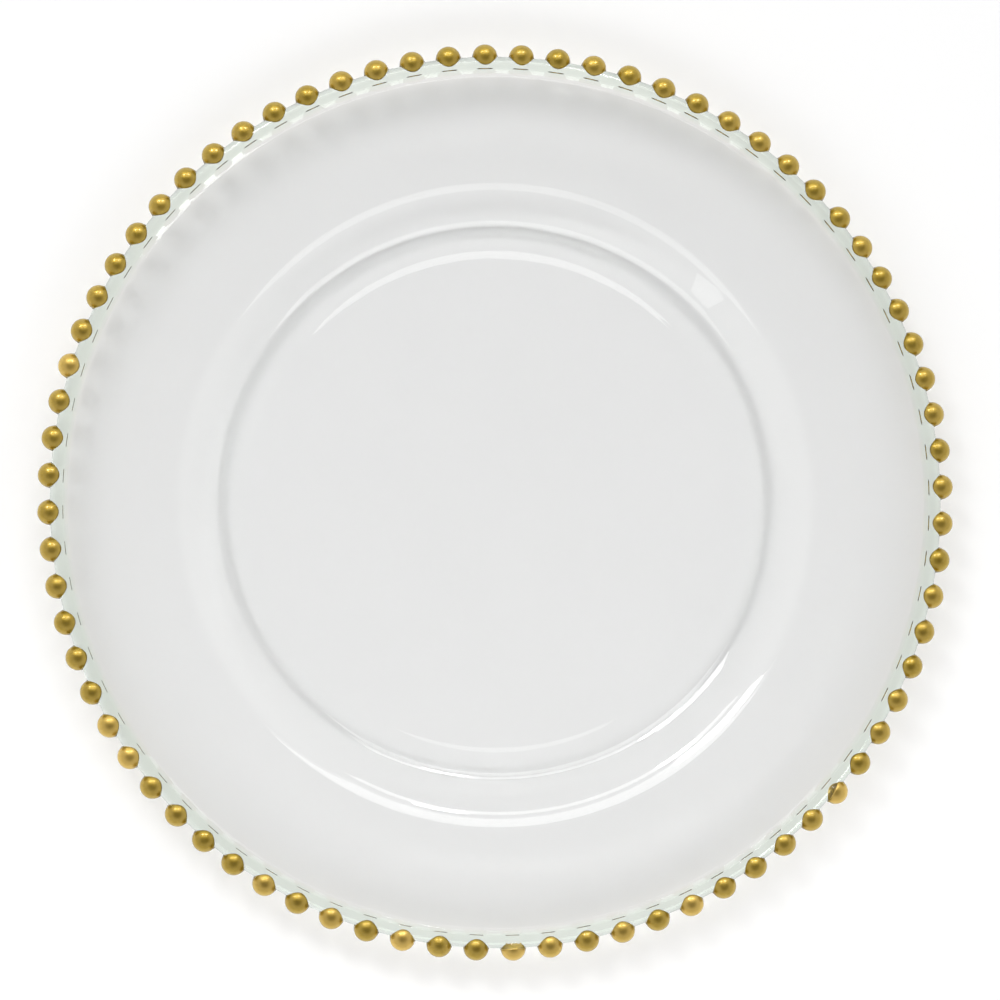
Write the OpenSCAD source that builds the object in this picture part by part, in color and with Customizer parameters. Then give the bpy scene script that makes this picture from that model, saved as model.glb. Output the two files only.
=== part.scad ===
// Clear glass charger plate with a ring of gilded glass beads on its rim.
// The origin is on the table under the plate's centre, +Z points up and one bead lies on +X.
// The plate is one turned section. Each bead is a ball moulded onto the rim edge, cut away
// where the rim's rounded edge runs into it, and a skin of gilding lies over what stays bare.

/* [Plate] */
// Diameter of the glass at the rim edge, on which the beads are centred
rim_d = 321.1; // [290:0.1:350]
// Diameter of the flat part of the well, on its upper face
well_d = 196.2; // [170:0.2:210]
// Thickness of the glass under the well
well_t = 4; // [3.2:0.1:5]

/* [Cove] */
// Slope in degrees at which the cove leaves the well
cove_lead = 15; // [8:1:20]
// Radius of the hollow curve that leaves the well, on the upper face
cove_low_r = 12; // [9:0.5:16]
// Width of the straight part of the cove, between its two curves
cove_run = 7.8; // [4:0.2:10]
// Slope of that straight part in degrees
cove_slope = 36; // [28:1:42]
// Radius of the round curve that runs into the flange, on the upper face
cove_high_r = 20; // [15:0.5:26]
// Slope of the flange in degrees
flange_slope = 2; // [1:0.5:4]

/* [Border] */
// Width of the border band, from the foot of its step to the rim edge
border_w = 5; // [4.4:0.1:7]
// Thickness of the border band, whose edge is a half round of this diameter
border_t = 6.1; // [5.6:0.1:6.8]
// Height of the step up to the border band
step_h = 0.6; // [0.4:0.1:0.9]
// Width of the low ledge that lies inside the border band
ledge_w = 1.4; // [1:0.1:2]
// Height of that ledge over the flange
ledge_h = 0.3; // [0.2:0.1:0.5]
// Width over which the step and the ledge each rise
step_w = 0.5; // [0.3:0.1:0.8]
// Width of the border band on the underside, out to the rim edge
under_w = 3.6; // [3.5:0.1:4.4]
// Width over which the underside runs up to the flange
under_step_w = 3.4; // [2.4:0.1:4.4]

/* [Foot] */
// Width of the flat ring that stands on the table, under the well's edge
foot_w = 6; // [4:0.5:9]
// Depth of the recess inside the foot ring
foot_h = 0.4; // [0.3:0.1:0.8]
// Width over which the recess rises behind the foot ring
recess_w = 5; // [3:0.5:8]

/* [Beads] */
// Number of beads round the rim
bead_count = 76; // [60:1:84]
// Diameter of a gilded bead
bead_d = 9.1; // [8.2:0.1:9.8]
// Reach of the blunt seam tip beyond the ball, at each side of a bead
tip_reach = 0.15; // [0.1:0.05:0.3]
// Radius of the seam tip where it leaves the ball
tip_r = 1.5; // [1.2:0.1:1.8]
// Radius of the seam tip's blunt end
tip_end_r = 0.2; // [0.1:0.05:0.4]
// Depth of the seam tip's root under the ball's surface
tip_root = 0.5; // [0.4:0.05:0.6]
// Thickness of the gilding
coat_t = 0.3; // [0.25:0.05:0.4]

/* [Hidden] */

glass_colour = "honeydew";
core_colour = "azure";
gold_colour = "darkgoldenrod";
round_faces = 96;

// Steps along each curve of the section
curve_steps = 10;
blend_steps = 8;

rim_r = rim_d / 2;
well_r = well_d / 2;
well_z = foot_h + well_t;

// The glass is as thick in the cove and the flange as the foot and the well are together
wall_t = well_z;

// Centres of the two cove curves, shared by the upper face and the underside
low_centre = [well_r - cove_low_r * sin(cove_lead), well_z + cove_low_r * cos(cove_lead)];
high_centre = [
    low_centre[0] + (cove_low_r + cove_high_r) * sin(cove_slope) + cove_run,
    low_centre[1] - (cove_low_r + cove_high_r) * cos(cove_slope) + cove_run * tan(cove_slope)
];

// Where the cove ends and the flange starts, on the upper face
cove_end_r = high_centre[0] - cove_high_r * sin(flange_slope);
cove_end_z = high_centre[1] + cove_high_r * cos(flange_slope);

// Inner edges of the border band and of its ledge
border_r = rim_r - border_w;
ledge_r = border_r - ledge_w;

// The border band lies level, its top the ledge and one step above the flange
ledge_z = cove_end_z + (ledge_r - cove_end_r) * tan(flange_slope) + ledge_h;
border_top = ledge_z + step_h;
edge_r = border_t / 2;
edge_z = border_top - edge_r;
under_r = rim_r - under_w;
under_z = edge_z - edge_r;

// The foot ring ends where the cove's underside comes down to the table
under_low_r = cove_low_r + wall_t;
touch_angle = -acos(low_centre[1] / under_low_r);
foot_out_r = low_centre[0] - under_low_r * sin(touch_angle);
foot_in_r = foot_out_r - foot_w;

// The seat is the part of the rim that a bead can reach, with the overrun of every cut
cut_over = 1;
bead_r = bead_d / 2;
seat_w = bead_r + cut_over;
seat_turn = 2 * atan((bead_r + tip_reach + cut_over) / rim_r);

// Height of the flange's upper face at a distance from the axis, and of its underside
function flange_z(r) = cove_end_z + (r - cove_end_r) * tan(flange_slope);
function flange_under_z(r) = flange_z(r) - wall_t / cos(flange_slope);

// Points along an arc about a centre, from one angle to another
function arc(centre, r, from, to) = [
    for (i = [0 : curve_steps])
        let (a = from + (to - from) * i / curve_steps)
        [centre[0] + r * cos(a), centre[1] + r * sin(a)]
];

// Points along a smooth rise from one point to another, level at both ends
function blend(p, q) = [
    for (i = [0 : blend_steps])
        let (u = i / blend_steps, s = (1 - cos(180 * u)) / 2)
        [p[0] + (q[0] - p[0]) * u, p[1] + (q[1] - p[1]) * s]
];

// Upper face from the axis out to the border band
upper_face = concat(
    [[0, well_z]],
    arc(low_centre, cove_low_r, cove_lead - 90, cove_slope - 90),
    arc(high_centre, cove_high_r, 90 + cove_slope, 90 + flange_slope),
    blend([ledge_r, flange_z(ledge_r)], [ledge_r + step_w, ledge_z]),
    blend([border_r, ledge_z], [border_r + step_w, border_top]),
    [[rim_r, border_top]]
);

// Underside from the border band in to the axis
lower_face = concat(
    [[rim_r, under_z]],
    blend([under_r, under_z], [under_r - under_step_w, flange_under_z(under_r - under_step_w)]),
    arc(high_centre, cove_high_r - wall_t, 90 + flange_slope, 90 + cove_slope),
    arc(low_centre, under_low_r, cove_slope - 90, -90 - touch_angle),
    blend([foot_in_r, 0], [foot_in_r - recess_w, foot_h]),
    [[0, foot_h]]
);

// Cuts the half round of the rim edge into a section that ends square there
module with_round_edge() {
    difference() {
        children();
        difference() {
            translate([rim_r - edge_r, under_z - cut_over]) square([edge_r + cut_over, border_t + 2 * cut_over]);
            translate([rim_r - edge_r, edge_z]) circle(r = edge_r, $fn = round_faces);
        }
    }
}

// The stretch of the rim that a bead is seated on
module rim_seat() {
    rotate([0, 0, -seat_turn / 2])
        rotate_extrude(angle = seat_turn, $fn = round_faces)
            with_round_edge()
                translate([rim_r - seat_w, under_z]) square([seat_w, border_t]);
}

// A ball with a blunt seam tip at each side, along the rim
module bead_ball(r) {
    translate([rim_r, 0, edge_z])
        rotate([90, 0, 0]) {
            sphere(r = r, $fn = round_faces);
            for (side = [0, 180])
                rotate([side, 0, 0])
                    translate([0, 0, r - tip_root])
                        cylinder(r1 = tip_r, r2 = tip_end_r, h = tip_root + tip_reach, $fn = round_faces);
        }
}

// Places one copy of its children at each bead
module each_bead() {
    for (i = [0 : bead_count - 1])
        rotate([0, 0, 360 * i / bead_count]) children();
}

module glass_plate() {
    color(glass_colour)
        rotate_extrude($fn = 2 * round_faces)
            with_round_edge() polygon(concat(upper_face, lower_face));
}

module bead_cores() {
    color(core_colour)
        each_bead()
            difference() {
                bead_ball(bead_r - coat_t);
                rim_seat();
            }
}

module gold_coats() {
    color(gold_colour)
        each_bead()
            difference() {
                bead_ball(bead_r);
                bead_ball(bead_r - coat_t);
                rim_seat();
            }
}

glass_plate();
bead_cores();
gold_coats();
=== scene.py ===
# %% [markdown]
# # A beaded glass charger plate
# The real plate is one pressing of clear glass: a flat well, a cove, a wide flange and a thicker
# border, with a ring of glass beads moulded onto its rim and gilded. Here it is made again at
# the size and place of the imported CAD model, with smooth glass, gilding with its hand-brushed
# unevenness, and a white studio table.

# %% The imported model
import math

import bpy
from mathutils import Matrix, Vector


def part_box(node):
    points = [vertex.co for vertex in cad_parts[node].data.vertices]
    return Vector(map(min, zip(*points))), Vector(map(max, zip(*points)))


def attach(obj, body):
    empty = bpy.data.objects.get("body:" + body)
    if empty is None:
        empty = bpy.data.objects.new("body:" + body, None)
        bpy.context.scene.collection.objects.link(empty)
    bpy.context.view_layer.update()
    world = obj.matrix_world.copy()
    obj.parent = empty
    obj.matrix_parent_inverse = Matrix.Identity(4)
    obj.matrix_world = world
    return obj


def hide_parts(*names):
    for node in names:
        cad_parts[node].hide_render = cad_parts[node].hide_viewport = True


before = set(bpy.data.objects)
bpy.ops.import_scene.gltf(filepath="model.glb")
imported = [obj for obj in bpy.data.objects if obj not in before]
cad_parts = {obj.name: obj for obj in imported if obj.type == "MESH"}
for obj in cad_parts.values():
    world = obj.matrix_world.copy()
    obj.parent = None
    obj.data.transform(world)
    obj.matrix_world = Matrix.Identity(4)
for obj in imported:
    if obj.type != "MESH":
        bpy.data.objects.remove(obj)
bpy.context.view_layer.update()
_, plate_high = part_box("glass_plate")
_, gold_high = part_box("gold_coats")

# %% [markdown]
# ## The sizes
# Everything is in metres. The height of the rim's edge and the size of a bead are read from the
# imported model. The others repeat the sizes that the model was made with, from the well out to
# the rim, but for the small curve of the crease, which only this version has.

# %% Sizes
MM = 0.001
BEADS = 76
RIM_R = 160.55 * MM
EDGE_R = 3.05 * MM
EDGE_Z = plate_high.z - EDGE_R
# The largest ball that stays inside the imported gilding, outwards and upwards
BEAD_R = min(gold_high.x - RIM_R, gold_high.z - EDGE_Z)
WELL_R = 98.1 * MM
WELL_Z = 4.4 * MM
WALL = 4.4 * MM
CREASE_R = 1.5 * MM
COVE_LEAD = math.radians(15)
COVE_LOW_R = 12 * MM
COVE_RUN = 7.8 * MM
COVE_SLOPE = math.radians(36)
COVE_HIGH_R = 20 * MM
FLANGE_SLOPE = math.radians(2)
BORDER_W = 5 * MM
STEP_H = 0.6 * MM
LEDGE_W = 1.4 * MM
LEDGE_H = 0.3 * MM
STEP_W = 0.5 * MM
UNDER_W = 3.6 * MM
UNDER_STEP_W = 3.4 * MM
FOOT_W = 6 * MM
FOOT_H = 0.4 * MM
RECESS_W = 5 * MM
TIP_REACH = 0.15 * MM
COAT = 0.3 * MM
print("bead radius", round(BEAD_R / MM, 2), "mm; edge height", round(EDGE_Z / MM, 2), "mm")

# %% [markdown]
# ## Camera
# The photograph was taken from about 1.26 m, nearly straight above and a few degrees to the
# lower left. The tilt and distance come from how the 76 equally spaced beads crowd together on
# one side of the ring and spread on the other.

# %% Camera
# Distance and shift in metres, tilts and turn in radians, the sensor's width in millimetres
CAMERA_DISTANCE = 1.2566
TILT_X = -0.0537
TILT_Y = 0.0660
TURN = math.radians(-1.618)
SHIFT = Vector((0.000395, -0.000178, 0))
FRAME_PIXELS = 1000
FOCAL_PIXELS = 3493.3
SENSOR_WIDTH = 36

camera = bpy.data.objects.new("camera", bpy.data.cameras.new("camera"))
bpy.context.scene.collection.objects.link(camera)
bpy.context.scene.camera = camera
camera.data.sensor_width = SENSOR_WIDTH
camera.data.lens = FOCAL_PIXELS * SENSOR_WIDTH / FRAME_PIXELS
tilt = (Matrix.Rotation(TILT_Y, 3, "Y") @ Matrix.Rotation(TILT_X, 3, "X")).transposed()
turned = Matrix.Rotation(TURN, 3, "Z") @ tilt
place = turned @ (Vector((0, 0, CAMERA_DISTANCE)) + SHIFT) + Vector((0, 0, EDGE_Z))
camera.matrix_world = Matrix.Translation(place) @ turned.to_4x4()
print("camera at", [round(v, 3) for v in place], "lens", round(camera.data.lens, 1), "mm")

# %% [markdown]
# ## Node helpers
# Small helpers that add a node, set its values and join sockets, so that the trees below read
# as recipes.

# %% Node helpers


def add(tree, kind, **settings):
    node = tree.nodes.new(kind)
    for name, value in settings.items():
        setattr(node, name, value)
    return node


def join(tree, start, end):
    tree.links.new(start, end)


def set_inputs(node, values):
    for name, value in values.items():
        node.inputs[name].default_value = value


def mix_colours(tree, factor, first, second):
    """Mixes two colours, each a socket or a fixed value, and returns the socket of the result."""
    node = add(tree, "ShaderNodeMix", data_type="RGBA", blend_type="MIX")
    join(tree, factor, node.inputs["Factor"])
    for socket, colour in zip([i for i in node.inputs if i.type == "RGBA"], (first, second)):
        if isinstance(colour, tuple):
            socket.default_value = colour
        else:
            join(tree, colour, socket)
    return [o for o in node.outputs if o.type == "RGBA"][0]


# %% [markdown]
# ## Light
# Soft boxes behind the plate light the table, and a low one close in front pales its near
# side, as in the photograph. They are kept out of the reflections. What the gold and the glass
# mirror is set on its own: two small bright lamps, a long dimmer one between them, a wide faint
# one higher up, and pale walls all round under a darker ceiling.

# %% Light
# Azimuth and zenith angle in degrees, distance, width and height in metres, brightness
TABLE_LAMPS = [
    (126, 44, 2.4, 0.62, 0.62, 9.0),
    (88, 33, 2.4, 1.90, 0.90, 3.3),
    (270, 38, 0.6, 1.00, 0.22, 2.0),
]
MIRRORED_LAMPS = [
    (117, 51, 2.4, 0.30, 0.30, 22.0),
    (73, 48, 2.4, 0.28, 0.28, 19.0),
    (95, 49, 2.4, 2.70, 0.30, 3.6),
    (90, 29, 2.4, 1.90, 0.80, 1.0),
]
# The walls turn into the ceiling between two heights, counted from 0 level to 1 overhead
WALL_LEVEL = 0.72
CEILING_LEVEL = 0.20
WALL_END = 0.62
CEILING_START = 0.92
WHITE = (1, 1, 1, 1)


def softbox(name, azimuth, zenith, distance, width, height, radiance):
    light = bpy.data.lights.new(name, "AREA")
    light.shape = "RECTANGLE"
    light.size = width
    light.size_y = height
    light.energy = radiance * math.pi * width * height
    lamp = bpy.data.objects.new(name, light)
    bpy.context.scene.collection.objects.link(lamp)
    a, z = math.radians(azimuth), math.radians(zenith)
    direction = Vector((math.sin(z) * math.cos(a), math.sin(z) * math.sin(a), math.cos(z)))
    lamp.location = direction * distance
    lamp.rotation_euler = direction.to_track_quat("Z", "Y").to_euler()
    lamp.visible_camera = False
    return lamp


for number, values in enumerate(TABLE_LAMPS):
    table_lamp = softbox(f"table_lamp_{number + 1}", *values)
    table_lamp.visible_glossy = False
for number, values in enumerate(MIRRORED_LAMPS):
    mirrored_lamp = softbox(f"mirrored_lamp_{number + 1}", *values)
    mirrored_lamp.visible_diffuse = False
    mirrored_lamp.visible_transmission = False

world = bpy.data.worlds.new("studio")
bpy.context.scene.world = world
world.use_nodes = True
sky = world.node_tree
upward = add(sky, "ShaderNodeSeparateXYZ")
join(sky, add(sky, "ShaderNodeTexCoord").outputs["Generated"], upward.inputs["Vector"])
level = add(sky, "ShaderNodeMapRange", interpolation_type="SMOOTHSTEP")
set_inputs(level, {"From Min": WALL_END, "From Max": CEILING_START,
                   "To Min": WALL_LEVEL, "To Max": CEILING_LEVEL})
join(sky, upward.outputs["Z"], level.inputs["Value"])
join(sky, level.outputs["Result"], sky.nodes["Background"].inputs["Strength"])
set_inputs(sky.nodes["Background"], {"Color": WHITE})
bpy.context.scene.view_settings.view_transform = "Standard"
# Keeps the light that reaches the table through the glass as bright as it really is
bpy.context.scene.cycles.blur_glossy = 0.0
print(len(TABLE_LAMPS), "soft boxes for the table,", len(MIRRORED_LAMPS), "for the reflections")

# %% [markdown]
# ## Table
# The table is a white sheet just under the foot ring. The greys under the glass come from
# the light that really gets through it, and from the painted shade of the glass's grey tint. A
# small share of its white is its own where the camera sees it, straight, mirrored or through
# glass, so the background is white and keeps the shadow.

# %% Table
TABLE_WHITE = (0.97, 0.97, 0.97, 1)
TABLE_GLOW = 0.15
TABLE_SIZE = 6.0
TABLE_GAP = 0.03 * MM


def table_material():
    material = bpy.data.materials.new("white_table")
    material.use_nodes = True
    tree = material.node_tree
    shader = tree.nodes["Principled BSDF"]
    set_inputs(shader, {"Base Color": TABLE_WHITE, "Roughness": 1.0, "Specular IOR Level": 0.0})
    path = add(tree, "ShaderNodeLightPath")
    straight_or_mirrored = add(tree, "ShaderNodeMath")
    join(tree, path.outputs["Is Camera Ray"], straight_or_mirrored.inputs[0])
    join(tree, path.outputs["Is Glossy Ray"], straight_or_mirrored.inputs[1])
    seen = add(tree, "ShaderNodeMath", use_clamp=True)
    join(tree, straight_or_mirrored.outputs["Value"], seen.inputs[0])
    join(tree, path.outputs["Is Transmission Ray"], seen.inputs[1])
    share = add(tree, "ShaderNodeMath", operation="MULTIPLY")
    share.inputs[1].default_value = TABLE_GLOW
    join(tree, seen.outputs["Value"], share.inputs[0])
    glow = add(tree, "ShaderNodeEmission")
    both = add(tree, "ShaderNodeMixShader")
    join(tree, share.outputs["Value"], both.inputs["Fac"])
    join(tree, shader.outputs["BSDF"], both.inputs[1])
    join(tree, glow.outputs["Emission"], both.inputs[2])
    join(tree, both.outputs["Shader"], tree.nodes["Material Output"].inputs["Surface"])
    return material


table_mesh = bpy.data.meshes.new("table")
half = TABLE_SIZE / 2
corners = [(-half, -half), (half, -half), (half, half), (-half, half)]
table_mesh.from_pydata([(x, y, -TABLE_GAP) for x, y in corners], [], [(0, 1, 2, 3)])
table = bpy.data.objects.new("table", table_mesh)
bpy.context.scene.collection.objects.link(table)
table_mesh.materials.append(table_material())
print("table of", TABLE_SIZE, "m,", TABLE_GAP / MM, "mm under the foot ring")

# %% [markdown]
# ## Gilding
# Gold lustre is brushed over each bead and fired. It is a satin metal with faint brush
# mottling, and it turns a darker brown towards the seam tips. Beads that took less of it are paler.

# %% Gilding material
# Mottle's dark and light, a pale bead, the seam tips, and the gold seen at a grazing angle
MOTTLE_DARK = (0.43, 0.282, 0.020, 1)
MOTTLE_LIGHT = (0.53, 0.365, 0.045, 1)
PALE_GOLD = (0.74, 0.50, 0.11, 1)
TIP_DARK_GOLD = (0.13, 0.07, 0.012, 1)
GRAZING_GOLD = (0.72, 0.74, 0.42, 1)
MOTTLE_SCALE = 420
MOTTLE_DETAIL = 4
MOTTLE_STOPS = (0.3, 0.7)
SMOOTHEST = 0.36
ROUGHEST = 0.46
# A thin clear layer over the gold carries the bright spots
GLAZE_WEIGHT = 0.9
GLAZE_ROUGHNESS = 0.12


def gilding_material():
    material = bpy.data.materials.new("satin_gilding")
    material.use_nodes = True
    tree = material.node_tree
    shader = tree.nodes["Principled BSDF"]
    place = add(tree, "ShaderNodeTexCoord").outputs["Object"]
    mottle = add(tree, "ShaderNodeTexNoise")
    set_inputs(mottle, {"Scale": MOTTLE_SCALE, "Detail": MOTTLE_DETAIL})
    join(tree, place, mottle.inputs["Vector"])
    ramp = add(tree, "ShaderNodeValToRGB")
    dark, light = ramp.color_ramp.elements
    dark.position, light.position = MOTTLE_STOPS
    dark.color = MOTTLE_DARK
    light.color = MOTTLE_LIGHT
    join(tree, mottle.outputs["Fac"], ramp.inputs["Fac"])
    tone = add(tree, "ShaderNodeAttribute", attribute_name="bead_tone")
    toned = mix_colours(tree, tone.outputs["Fac"], ramp.outputs["Color"], PALE_GOLD)
    tip_mark = add(tree, "ShaderNodeAttribute", attribute_name="tip_darkening")
    tip_darkened = mix_colours(tree, tip_mark.outputs["Fac"], toned, TIP_DARK_GOLD)
    join(tree, tip_darkened, shader.inputs["Base Color"])
    rough = add(tree, "ShaderNodeMapRange")
    set_inputs(rough, {"To Min": SMOOTHEST, "To Max": ROUGHEST})
    join(tree, mottle.outputs["Fac"], rough.inputs["Value"])
    join(tree, rough.outputs["Result"], shader.inputs["Roughness"])
    set_inputs(shader, {"Metallic": 1.0, "Specular Tint": GRAZING_GOLD,
                        "Coat Weight": GLAZE_WEIGHT, "Coat Roughness": GLAZE_ROUGHNESS})
    return material


gilding = gilding_material()
print("made", gilding.name)

# %% [markdown]
# ## Glass
# Clear soda-lime glass bends light by 1.52 and takes a faint green from iron. It shows in the
# border, whose thick rounded edge gathers light from far inside, so the green sets in there.
# The grey over the rest is painted shade: a slight grey tint at each face darkens the table seen
# through the glass. The border's tint carries the same painted shade under its green. Little is
# absorbed on the way through, because strong absorption turned the plate's edge black from the
# side. A pressed face is never quite flat, so a slow ripple bends the reflections a little.

# %% Glass material
# Painted shade as a grey tint at a face. At the border the glass's own green lies over the same
# painted shade, and it sets in between two radii
PAINTED_SHADE_TINT = (0.908, 0.902, 0.906, 1)
BORDER_GREEN_AND_SHADE = (0.846, 0.890, 0.851, 1)
GREEN_START = RIM_R - BORDER_W - 1.2 * MM
GREEN_END = RIM_R - BORDER_W + 0.6 * MM
DEPTH_TINT = (0.40, 0.62, 0.46, 1)
DEPTH_DENSITY = 9.0
GLASS_IOR = 1.52
RIPPLE_SCALE = 38
RIPPLE_DETAIL = 1
RIPPLE_STRENGTH = 0.25
RIPPLE_HEIGHT = 0.0002
# Leaves out the height, so that the length of what is left is the distance from the axis
LEVEL_ONLY = (1, 1, 0)


def glass_material():
    material = bpy.data.materials.new("pressed_glass")
    material.use_nodes = True
    tree = material.node_tree
    shader = tree.nodes["Principled BSDF"]
    set_inputs(shader, {"Transmission Weight": 1.0, "IOR": GLASS_IOR, "Roughness": 0.0})
    place = add(tree, "ShaderNodeTexCoord").outputs["Object"]
    flat = add(tree, "ShaderNodeVectorMath", operation="MULTIPLY")
    flat.inputs[1].default_value = LEVEL_ONLY
    join(tree, place, flat.inputs[0])
    radius = add(tree, "ShaderNodeVectorMath", operation="LENGTH")
    join(tree, flat.outputs["Vector"], radius.inputs[0])
    border = add(tree, "ShaderNodeMapRange", interpolation_type="SMOOTHSTEP")
    set_inputs(border, {"From Min": GREEN_START, "From Max": GREEN_END})
    join(tree, radius.outputs["Value"], border.inputs["Value"])
    # Painted shade: a grey tint at each face, turning to the glass's own green at the border
    tint_and_shade = mix_colours(tree, border.outputs["Result"], PAINTED_SHADE_TINT, BORDER_GREEN_AND_SHADE)
    join(tree, tint_and_shade, shader.inputs["Base Color"])
    ripple = add(tree, "ShaderNodeTexNoise")
    set_inputs(ripple, {"Scale": RIPPLE_SCALE, "Detail": RIPPLE_DETAIL})
    join(tree, place, ripple.inputs["Vector"])
    bump = add(tree, "ShaderNodeBump")
    set_inputs(bump, {"Strength": RIPPLE_STRENGTH, "Distance": RIPPLE_HEIGHT})
    join(tree, ripple.outputs["Fac"], bump.inputs["Height"])
    join(tree, bump.outputs["Normal"], shader.inputs["Normal"])
    depth = add(tree, "ShaderNodeVolumeAbsorption")
    set_inputs(depth, {"Color": DEPTH_TINT, "Density": DEPTH_DENSITY})
    join(tree, depth.outputs["Volume"], tree.nodes["Material Output"].inputs["Volume"])
    return material


clear_glass = glass_material()
print("made", clear_glass.name)

# %% [markdown]
# ## The plate's section
# A pressed plate is a turned form, so it is drawn once, as the outline of a slice from the
# centre to the rim, and spun. Straight runs are joined by arcs and by smooth steps.

# %% Section points


def arc(centre, radius, start, end, steps):
    return [
        (centre[0] + radius * math.cos(start + (end - start) * i / steps),
         centre[1] + radius * math.sin(start + (end - start) * i / steps))
        for i in range(steps + 1)
    ]


def smooth_step(p, q, steps):
    points = []
    for i in range(steps + 1):
        u = i / steps
        rise = (1 - math.cos(math.pi * u)) / 2
        points.append((p[0] + (q[0] - p[0]) * u, p[1] + (q[1] - p[1]) * rise))
    return points


def straight(p, q, steps):
    return [(p[0] + (q[0] - p[0]) * i / steps, p[1] + (q[1] - p[1]) * i / steps)
            for i in range(1, steps)]


QUARTER = math.pi / 2
low_centre = (WELL_R - COVE_LOW_R * math.sin(COVE_LEAD), WELL_Z + COVE_LOW_R * math.cos(COVE_LEAD))
curves = COVE_LOW_R + COVE_HIGH_R
high_centre = (low_centre[0] + curves * math.sin(COVE_SLOPE) + COVE_RUN,
               low_centre[1] - curves * math.cos(COVE_SLOPE) + COVE_RUN * math.tan(COVE_SLOPE))
flange_start = (high_centre[0] - COVE_HIGH_R * math.sin(FLANGE_SLOPE),
                high_centre[1] + COVE_HIGH_R * math.cos(FLANGE_SLOPE))


def flange_z(r):
    return flange_start[1] + (r - flange_start[0]) * math.tan(FLANGE_SLOPE)


border_r = RIM_R - BORDER_W
ledge_r = border_r - LEDGE_W
ledge_z = flange_z(ledge_r) + LEDGE_H
border_top = ledge_z + STEP_H
edge_z = border_top - EDGE_R
print("edge height from the section", round(edge_z / MM, 3),
      "and from the CAD", round(EDGE_Z / MM, 3))

# %% [markdown]
# ## The upper face and the underside
# Both faces are drawn from the same centres, so the wall is equally thick in the cove and the
# flange. The corner where the cove leaves the well is pressed with a small curve of its own.

# %% Section outline
# Steps along each run, from the axis out along the upper face and back along the underside
WELL_STEPS = 14
CREASE_STEPS = 5
COVE_LOW_STEPS = 16
COVE_HIGH_STEPS = 26
FLANGE_STEPS = 8
RISE_STEPS = 6
EDGE_STEPS = 28
UNDER_RISE_STEPS = 10
UNDER_HIGH_STEPS = 18
UNDER_LOW_STEPS = 12
RECESS_STEPS = 10
# The cove's curve starts this angle further round than the small curve ends
CREASE_GAP = 0.02

crease_start = WELL_R - CREASE_R * math.tan(COVE_LEAD / 2)
crease_reach = crease_start - low_centre[0] + CREASE_R * math.sin(COVE_LEAD)
crease_slope = math.asin(crease_reach / COVE_LOW_R)
cove_start = crease_slope + CREASE_GAP - QUARTER
upper = ([(0, WELL_Z)] + straight((0, WELL_Z), (crease_start, WELL_Z), WELL_STEPS)
         + arc((crease_start, WELL_Z + CREASE_R), CREASE_R, -QUARTER, COVE_LEAD - QUARTER,
               CREASE_STEPS)
         + arc(low_centre, COVE_LOW_R, cove_start, COVE_SLOPE - QUARTER, COVE_LOW_STEPS)
         + arc(high_centre, COVE_HIGH_R, QUARTER + COVE_SLOPE, QUARTER + FLANGE_SLOPE,
               COVE_HIGH_STEPS)
         + straight(flange_start, (ledge_r, flange_z(ledge_r)), FLANGE_STEPS)
         + smooth_step((ledge_r, flange_z(ledge_r)), (ledge_r + STEP_W, ledge_z), RISE_STEPS)
         + smooth_step((border_r, ledge_z), (border_r + STEP_W, border_top), RISE_STEPS)
         + arc((RIM_R - EDGE_R, edge_z), EDGE_R, QUARTER, -QUARTER, EDGE_STEPS))

under_r = RIM_R - UNDER_W
under_in = under_r - UNDER_STEP_W
under_low_r = COVE_LOW_R + WALL
touch = math.acos(low_centre[1] / under_low_r)
foot_out_r = low_centre[0] + under_low_r * math.sin(touch)
foot_in_r = foot_out_r - FOOT_W
flange_under_in = (high_centre[0] - (COVE_HIGH_R - WALL) * math.sin(FLANGE_SLOPE),
                   high_centre[1] + (COVE_HIGH_R - WALL) * math.cos(FLANGE_SLOPE))
flange_under_out = (under_in, flange_z(under_in) - WALL / math.cos(FLANGE_SLOPE))
lower = (smooth_step((under_r, edge_z - EDGE_R), flange_under_out, UNDER_RISE_STEPS)
         + straight(flange_under_out, flange_under_in, FLANGE_STEPS)
         + arc(high_centre, COVE_HIGH_R - WALL, QUARTER + FLANGE_SLOPE, QUARTER + COVE_SLOPE,
               UNDER_HIGH_STEPS)
         + arc(low_centre, under_low_r, COVE_SLOPE - QUARTER, touch - QUARTER, UNDER_LOW_STEPS)
         + smooth_step((foot_in_r, 0), (foot_in_r - RECESS_W, FOOT_H), RECESS_STEPS)
         + straight((foot_in_r - RECESS_W, FOOT_H), (0, FOOT_H), RECESS_STEPS)
         + [(0, FOOT_H)])
section = upper + lower
print("section of", len(section), "points; foot ring",
      round(foot_in_r / MM, 2), "to", round(foot_out_r / MM, 2), "mm")

# %% [markdown]
# ## Spinning the section
# Geometry Nodes sweep the section round a circle, as a potter's profile or a lathe does. The
# points on the axis fall together and are merged, so the well closes without a hole.

# %% Lathe tree
# Points on the axis that are closer than this are one
MERGE_DISTANCE = 1e-6


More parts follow.
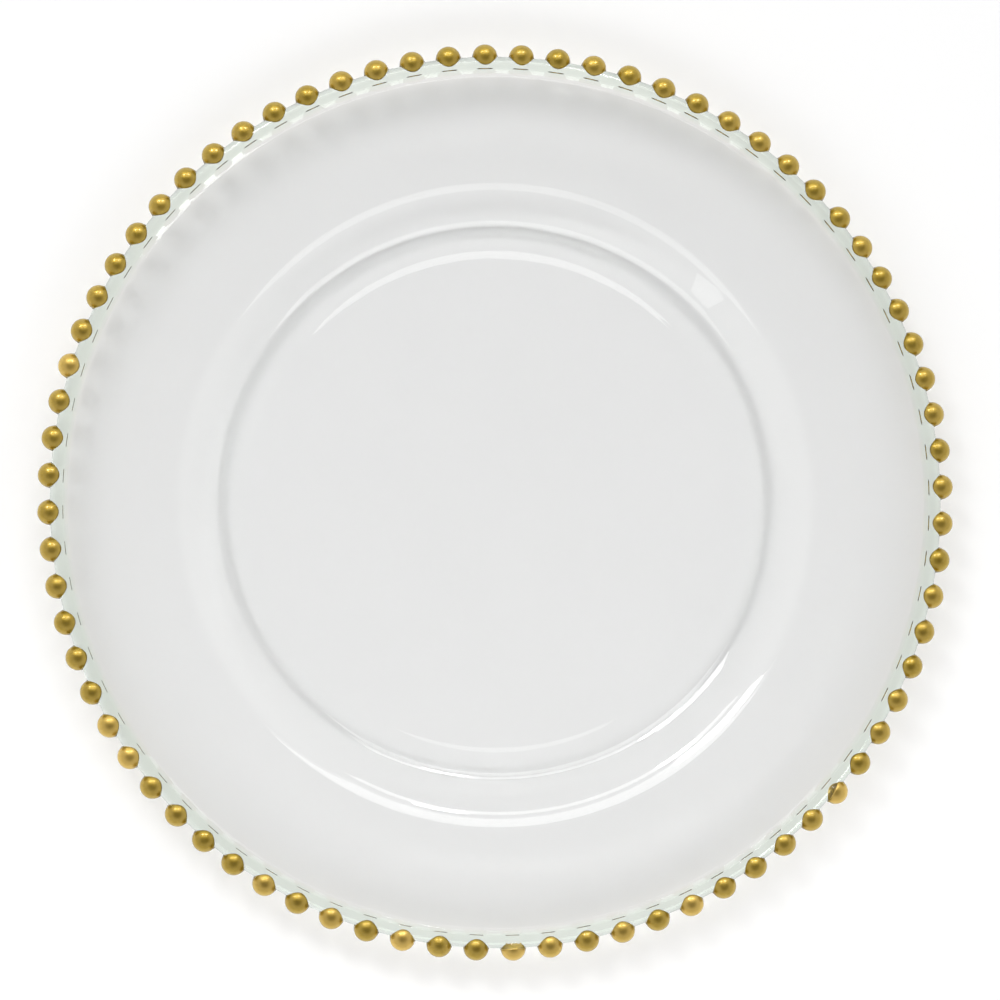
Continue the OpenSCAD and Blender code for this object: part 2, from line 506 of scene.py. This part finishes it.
def lathe_tree(material):
    tree = bpy.data.node_groups.new("lathe", "GeometryNodeTree")
    sockets = tree.interface
    sockets.new_socket("Geometry", in_out="INPUT", socket_type="NodeSocketGeometry")
    sockets.new_socket("Steps round", in_out="INPUT", socket_type="NodeSocketInt")
    sockets.new_socket("Ring radius", in_out="INPUT", socket_type="NodeSocketFloat")
    sockets.new_socket("Geometry", in_out="OUTPUT", socket_type="NodeSocketGeometry")
    source = add(tree, "NodeGroupInput")
    result = add(tree, "NodeGroupOutput")
    outline = add(tree, "GeometryNodeMeshToCurve")
    ring = add(tree, "GeometryNodeCurvePrimitiveCircle")
    sweep = add(tree, "GeometryNodeCurveToMesh")
    merge = add(tree, "GeometryNodeMergeByDistance")
    merge.inputs["Distance"].default_value = MERGE_DISTANCE
    smooth = add(tree, "GeometryNodeSetShadeSmooth")
    finish = add(tree, "GeometryNodeSetMaterial")
    finish.inputs["Material"].default_value = material
    join(tree, source.outputs["Geometry"], outline.inputs["Mesh"])
    join(tree, source.outputs["Steps round"], ring.inputs["Resolution"])
    join(tree, source.outputs["Ring radius"], ring.inputs["Radius"])
    join(tree, ring.outputs["Curve"], sweep.inputs["Curve"])
    join(tree, outline.outputs["Curve"], sweep.inputs["Profile Curve"])
    join(tree, sweep.outputs["Mesh"], merge.inputs["Geometry"])
    join(tree, merge.outputs["Geometry"], smooth.inputs["Geometry"])
    join(tree, smooth.outputs["Geometry"], finish.inputs["Geometry"])
    join(tree, finish.outputs["Geometry"], result.inputs["Geometry"])
    return tree


def run_tree(name, mesh, tree, values):
    """Runs a tree on a mesh and returns the result as a plain mesh object."""
    carrier = bpy.data.objects.new(name + "_source", mesh)
    bpy.context.scene.collection.objects.link(carrier)
    modifier = carrier.modifiers.new("nodes", "NODES")
    modifier.node_group = tree
    for item in tree.interface.items_tree:
        if item.in_out == "INPUT" and item.name in values:
            modifier[item.identifier] = values[item.name]
    bpy.context.view_layer.update()
    evaluated = carrier.evaluated_get(bpy.context.evaluated_depsgraph_get())
    made = bpy.data.meshes.new_from_object(evaluated)
    made.name = name
    piece = bpy.data.objects.new(name, made)
    bpy.context.scene.collection.objects.link(piece)
    bpy.data.objects.remove(carrier)
    return piece


# The section is drawn beside a ring of this radius, which the tree sweeps it round
RING_R = 0.1
STEPS_PER_BEAD = 5
section_mesh = bpy.data.meshes.new("section")
section_mesh.from_pydata([(r - RING_R, -z, 0) for r, z in section], [], [])
section_mesh.edges.add(len(section) - 1)
section_mesh.edges.foreach_set("vertices", [v for i in range(len(section) - 1) for v in (i, i + 1)])
lathe_values = {"Steps round": BEADS * STEPS_PER_BEAD, "Ring radius": RING_R}
plate = run_tree("plate_glass", section_mesh, lathe_tree(clear_glass), lathe_values)
low = [min(v.co[i] for v in plate.data.vertices) for i in range(3)]
high = [max(v.co[i] for v in plate.data.vertices) for i in range(3)]
print("plate", len(plate.data.polygons), "faces, box", [round(v / MM, 2) for v in low + high])

# %% [markdown]
# ## The reach of a bead
# A bead is a ball centred on the rim's edge, with a blunt tip at each side where the mould's
# seam ran out. It is described by its reach in each direction from its centre, so the glass
# inside and both faces of the gilding come from one rule.

# %% Reach of a bead
TIP_ROOT = 0.5 * MM
TIP_R = 1.5 * MM
TIP_END_R = 0.2 * MM
# Only a direction this close to the line of the rim, as a cosine, can end on a tip
TIP_ZONE = 0.9


def reach(direction, ball):
    """Distance from a bead's centre to its surface, along a direction."""
    along = min(1.0, abs(direction[1]))
    across = math.sqrt(max(0.0, 1 - along * along))
    end = ball + TIP_REACH
    if across < along * TIP_END_R / end:
        return end / along
    length = TIP_REACH + TIP_ROOT
    width = TIP_R - TIP_END_R
    cone = (width * end + length * TIP_END_R) / (width * along + length * across)
    return max(ball, cone) if along > TIP_ZONE else ball


print("a bead reaches", round(reach((1, 0, 0), BEAD_R) / MM, 2), "mm outwards and",
      round(reach((0, 1, 0), BEAD_R) / MM, 2), "mm along the rim")

# %% [markdown]
# ## Where the gilding ends
# On top the gilding stops where the ball runs into the rim, and its edge dips just under the
# glass. Underneath, where the brush hardly reached, it stops short of the rim. The angle is
# found by halving the range between one in free air and one inside the rim.

# %% End of the gilding
DIP = math.radians(0.6)
UNDER_REACH = 1.2 * MM
FREE_ANGLE = math.radians(60)
BURIED_ANGLE = math.radians(176)
HALVINGS = 40
TIP_CROWDING = 0.35


def in_rim(point):
    """True where a point of a bead lies inside the glass of the rim."""
    x, y, z = point
    out = math.hypot(RIM_R + x, y) - (RIM_R - EDGE_R)
    return math.hypot(max(out, 0.0), z) < EDGE_R


def towards(theta, phi):
    return (math.cos(theta), math.sin(theta) * math.cos(phi), math.sin(theta) * math.sin(phi))


def end_angle(phi, ball):
    """How far round from the outward axis the bead's surface meets the rim."""
    near, far = FREE_ANGLE, BURIED_ANGLE
    for _ in range(HALVINGS):
        middle = (near + far) / 2
        d = towards(middle, phi)
        r = reach(d, ball)
        if in_rim([r * c for c in d]):
            far = middle
        else:
            near = middle
    if math.sin(phi) < 0:
        near = min(near, QUARTER + math.asin(UNDER_REACH / ball))
    return near + DIP


def crowded(count):
    """Angles round the outward axis, closer together at the seam tips."""
    turns = [2 * math.pi * i / count for i in range(count)]
    return [u - TIP_CROWDING * math.sin(2 * u) for u in turns]


print("gilding ends", round(math.degrees(end_angle(QUARTER, BEAD_R)), 1), "degrees round on top,",
      round(math.degrees(end_angle(-QUARTER, BEAD_R)), 1), "underneath")

# %% [markdown]
# ## The skin of gilding
# A skin is an outer cap, an inner cap and the edge between them, so it is a thin solid. Each
# point carries a number of its own for how much darker the gold is there, next to the tips.

# %% Skin
SKIN_SIDES = 48
OUTER_RINGS = 14
INNER_RINGS = 5
# Share of the bead's radius along the rim at which the gold starts to darken towards the tip
DARKENING_START = 0.90


def cap_rings(ball, ends, phis, steps):
    """Points of a cap round the outward axis: the pole, then one ring after another."""
    points = [(reach((1, 0, 0), ball), 0, 0)]
    for step in range(1, steps + 1):
        for phi, end in zip(phis, ends):
            d = towards(end * step / steps, phi)
            r = reach(d, ball)
            points.append(tuple(r * c for c in d))
    return points


def cap_faces(count, steps, first, flipped):
    faces = [(first, first + 1 + i, first + 1 + (i + 1) % count) for i in range(count)]
    for step in range(steps - 1):
        a = first + 1 + step * count
        b = a + count
        faces += [(a + i, b + i, b + (i + 1) % count, a + (i + 1) % count) for i in range(count)]
    return [tuple(reversed(f)) for f in faces] if flipped else faces


def skin_mesh(name, wear=None):
    """A closed skin of gilding: an outer cap, an inner cap and the edge between them.
    Wear gives how far round the gilding still reaches in each direction, where it is worn."""
    phis = crowded(SKIN_SIDES)
    ends = [end_angle(phi, BEAD_R) for phi in phis]
    inner_ends = [end_angle(phi, BEAD_R - COAT) for phi in phis]
    if wear:
        ends = [min(end, wear(phi)) for end, phi in zip(ends, phis)]
        inner_ends = [min(end, wear(phi)) for end, phi in zip(inner_ends, phis)]
    outer = cap_rings(BEAD_R, ends, phis, OUTER_RINGS)
    inner = cap_rings(BEAD_R - COAT, inner_ends, phis, INNER_RINGS)
    faces = cap_faces(SKIN_SIDES, OUTER_RINGS, 0, False)
    faces += cap_faces(SKIN_SIDES, INNER_RINGS, len(outer), True)
    a = 1 + (OUTER_RINGS - 1) * SKIN_SIDES
    b = len(outer) + 1 + (INNER_RINGS - 1) * SKIN_SIDES
    for i in range(SKIN_SIDES):
        after = (i + 1) % SKIN_SIDES
        faces.append((a + i, b + i, b + after, a + after))
    mesh = bpy.data.meshes.new(name)
    mesh.from_pydata(outer + inner, [], faces)
    tip_mark = mesh.attributes.new("tip_darkening", "FLOAT", "POINT")
    for i, (x, y, z) in enumerate(outer + inner):
        depth = (abs(y) / BEAD_R - DARKENING_START) / (1 - DARKENING_START)
        tip_mark.data[i].value = min(1.0, max(0.0, depth))
    return mesh


one_skin = skin_mesh("one_skin")
print("skin of", len(one_skin.polygons), "faces")

# %% [markdown]
# ## The glass inside a bead
# The ball of glass ends in the middle of the gilding's thickness, so no face of the two lies on
# another. Where it runs in under the rim it is level with the rim's underside.

# %% Core
CORE_SIDES = 32
CORE_STEPS = 16
# Distance inward from the bead's centre over which the ball becomes level with the rim
FLUSH_START = 1.3 * MM
FLUSH_END = 2.1 * MM
FLUSH_SINK = 0.02 * MM


def core_reach(direction, ball):
    """As reach, but level with the rim's underside where the ball runs in under it."""
    r = reach(direction, ball)
    inward = -direction[0] * r
    if direction[2] < 0 and inward > FLUSH_START:
        share = min(1.0, (inward - FLUSH_START) / (FLUSH_END - FLUSH_START))
        level = min(r, (EDGE_R - FLUSH_SINK) / -direction[2])
        r += (level - r) * share * share * (3 - 2 * share)
    return r


def core_mesh(name):
    """A closed ball of the glass inside a bead, a little inside the gilding's outer face."""
    phis = crowded(CORE_SIDES)
    ball = BEAD_R - COAT / 2
    points = [(ball, 0, 0)]
    for step in range(1, CORE_STEPS):
        for phi in phis:
            d = towards(math.pi * step / CORE_STEPS, phi)
            r = core_reach(d, ball)
            points.append(tuple(r * c for c in d))
    points.append((-ball, 0, 0))
    faces = cap_faces(CORE_SIDES, CORE_STEPS - 1, 0, False)
    last = len(points) - 1
    ring = 1 + (CORE_STEPS - 2) * CORE_SIDES
    faces += [(ring + i, last, ring + (i + 1) % CORE_SIDES) for i in range(CORE_SIDES)]
    mesh = bpy.data.meshes.new(name)
    mesh.from_pydata(points, [], faces)
    return mesh


def volume(mesh):
    total = 0.0
    points = [v.co for v in mesh.vertices]
    for face in mesh.polygons:
        ring = [points[i] for i in face.vertices]
        for i in range(1, len(ring) - 1):
            total += ring[0].dot(ring[i].cross(ring[i + 1])) / 6
    return total


one_core = core_mesh("one_core")
print("skin", round(volume(one_skin) / MM ** 3, 1), "mm3; core",
      round(volume(one_core) / MM ** 3, 1), "mm3; plate", round(volume(plate.data) / MM ** 3), "mm3")

# %% [markdown]
# ## The ring of beads
# One bead is copied to 76 equal places on the rim, the first on +X, and each copy carries a
# number of its own that the gilding's material uses for its tone.

# %% Ring tree


def ring_tree(material):
    tree = bpy.data.node_groups.new("bead_ring", "GeometryNodeTree")
    sockets = tree.interface
    sockets.new_socket("Geometry", in_out="INPUT", socket_type="NodeSocketGeometry")
    for name, kind in [("Beads", "Int"), ("Rim radius", "Float"),
                       ("Edge height", "Float"), ("Seed", "Int")]:
        sockets.new_socket(name, in_out="INPUT", socket_type="NodeSocket" + kind)
    sockets.new_socket("Geometry", in_out="OUTPUT", socket_type="NodeSocketGeometry")
    source = add(tree, "NodeGroupInput")
    result = add(tree, "NodeGroupOutput")
    circle = add(tree, "GeometryNodeMeshCircle")
    join(tree, source.outputs["Beads"], circle.inputs["Vertices"])
    join(tree, source.outputs["Rim radius"], circle.inputs["Radius"])
    height = add(tree, "ShaderNodeCombineXYZ")
    join(tree, source.outputs["Edge height"], height.inputs["Z"])
    lift = add(tree, "GeometryNodeTransform")
    join(tree, circle.outputs["Mesh"], lift.inputs["Geometry"])
    join(tree, height.outputs["Vector"], lift.inputs["Translation"])
    index = add(tree, "GeometryNodeInputIndex")
    share = add(tree, "ShaderNodeMath", operation="DIVIDE")
    join(tree, index.outputs["Index"], share.inputs[0])
    join(tree, source.outputs["Beads"], share.inputs[1])
    turn = add(tree, "ShaderNodeMath", operation="MULTIPLY")
    turn.inputs[1].default_value = 2 * math.pi
    join(tree, share.outputs["Value"], turn.inputs[0])
    euler = add(tree, "ShaderNodeCombineXYZ")
    join(tree, turn.outputs["Value"], euler.inputs["Z"])
    rotation = add(tree, "FunctionNodeEulerToRotation")
    join(tree, euler.outputs["Vector"], rotation.inputs["Euler"])
    copies = add(tree, "GeometryNodeInstanceOnPoints")
    join(tree, lift.outputs["Geometry"], copies.inputs["Points"])
    join(tree, source.outputs["Geometry"], copies.inputs["Instance"])
    join(tree, rotation.outputs["Rotation"], copies.inputs["Rotation"])
    chance = add(tree, "FunctionNodeRandomValue", data_type="FLOAT")
    join(tree, source.outputs["Seed"], chance.inputs["Seed"])
    tone = add(tree, "GeometryNodeStoreNamedAttribute", domain="INSTANCE")
    tone.inputs["Name"].default_value = "bead_tone"
    join(tree, copies.outputs["Instances"], tone.inputs["Geometry"])
    number = [o for o in chance.outputs if o.enabled and o.type == "VALUE"][0]
    join(tree, number, tone.inputs["Value"])
    real = add(tree, "GeometryNodeRealizeInstances")
    smooth = add(tree, "GeometryNodeSetShadeSmooth")
    finish = add(tree, "GeometryNodeSetMaterial")
    finish.inputs["Material"].default_value = material
    join(tree, tone.outputs["Geometry"], real.inputs["Geometry"])
    join(tree, real.outputs["Geometry"], smooth.inputs["Geometry"])
    join(tree, smooth.outputs["Geometry"], finish.inputs["Geometry"])
    join(tree, finish.outputs["Geometry"], result.inputs["Geometry"])
    return tree


TONE_SEED = 12
ring_values = {"Beads": BEADS, "Rim radius": RIM_R, "Edge height": EDGE_Z, "Seed": TONE_SEED}
skins = run_tree("gilding_skins", one_skin, ring_tree(gilding), ring_values)
cores = run_tree("bead_glass", one_core, ring_tree(clear_glass), ring_values)
print("skins", len(skins.data.polygons), "faces; cores", len(cores.data.polygons), "faces")

# %% [markdown]
# ## Worn and paler beads
# Two beads at the front have lost some gold on the side next to the plate, where clear glass
# shows. A few others took less gold and are paler. Each worn skin replaces the points of the
# ring's own skin at its place, so the count of beads stays the same.

# %% Worn and paler beads
# How pale single beads are, by their number from +X. The others lie between 0 and COMMON_TONE
PALE = {
    34: 0.9, 44: 0.8, 45: 0.9, 50: 0.6, 52: 0.6, 54: 1.0,
    57: 1.0, 58: 0.7, 60: 0.6, 62: 0.9, 67: 1.0,
}
COMMON_TONE = 0.3
# Degrees round from the outward axis at which worn gilding ends, and how much that varies
EVEN_WEAR = 92
EVEN_CHANGE = 4
SIDE_WEAR = 104
SIDE_CHANGE = 16


def worn_evenly(phi):
    return math.radians(EVEN_WEAR - EVEN_CHANGE * abs(math.cos(phi)))


def worn_on_one_side(phi):
    return math.radians(SIDE_WEAR + SIDE_CHANGE * math.cos(phi))


WORN = {57: worn_evenly, 67: worn_on_one_side}
skin_points = len(one_skin.vertices)
tone = skins.data.attributes["bead_tone"]
for bead in range(BEADS):
    for i in range(bead * skin_points, (bead + 1) * skin_points):
        tone.data[i].value = PALE.get(bead, COMMON_TONE * tone.data[i].value)
for bead, wear in WORN.items():
    worn = skin_mesh(f"worn_skin_{bead}", wear)
    spin = Matrix.Translation((0, 0, EDGE_Z)) @ Matrix.Rotation(2 * math.pi * bead / BEADS, 4, "Z")
    for i, point in enumerate(worn.vertices):
        skins.data.vertices[bead * skin_points + i].co = spin @ (point.co + Vector((RIM_R, 0, 0)))
print("worn beads", sorted(WORN), "and paler beads", sorted(PALE), "attribute on", tone.domain)

# %% [markdown]
# ## One pressing
# On the real plate the beads and the plate are one piece of glass, with nothing between them.
# So the balls are joined to the turned plate, and light runs from one into the other.

# %% Join the glass
# Edges that turn more than this stay sharp
SHARP_ANGLE = math.radians(32)

joined = plate.modifiers.new("beads", "BOOLEAN")
joined.operation = "UNION"
joined.solver = "MANIFOLD"
joined.object = cores
bpy.context.view_layer.update()
whole = bpy.data.meshes.new_from_object(plate.evaluated_get(bpy.context.evaluated_depsgraph_get()))
plate.modifiers.remove(joined)
plate.data = whole
plate.name = "glass_pressing"
whole.set_sharp_from_angle(angle=SHARP_ANGLE)
bpy.data.objects.remove(cores)
triangles = sum(len(f.vertices) - 2 for f in whole.polygons)
print("glass", triangles, "triangles,", round(volume(whole) / MM ** 3), "mm3")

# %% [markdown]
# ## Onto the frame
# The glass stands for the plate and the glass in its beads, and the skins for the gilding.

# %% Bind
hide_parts("glass_plate", "bead_cores")
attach(plate, "root")
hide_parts("gold_coats")
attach(skins, "root")
bpy.context.view_layer.update()
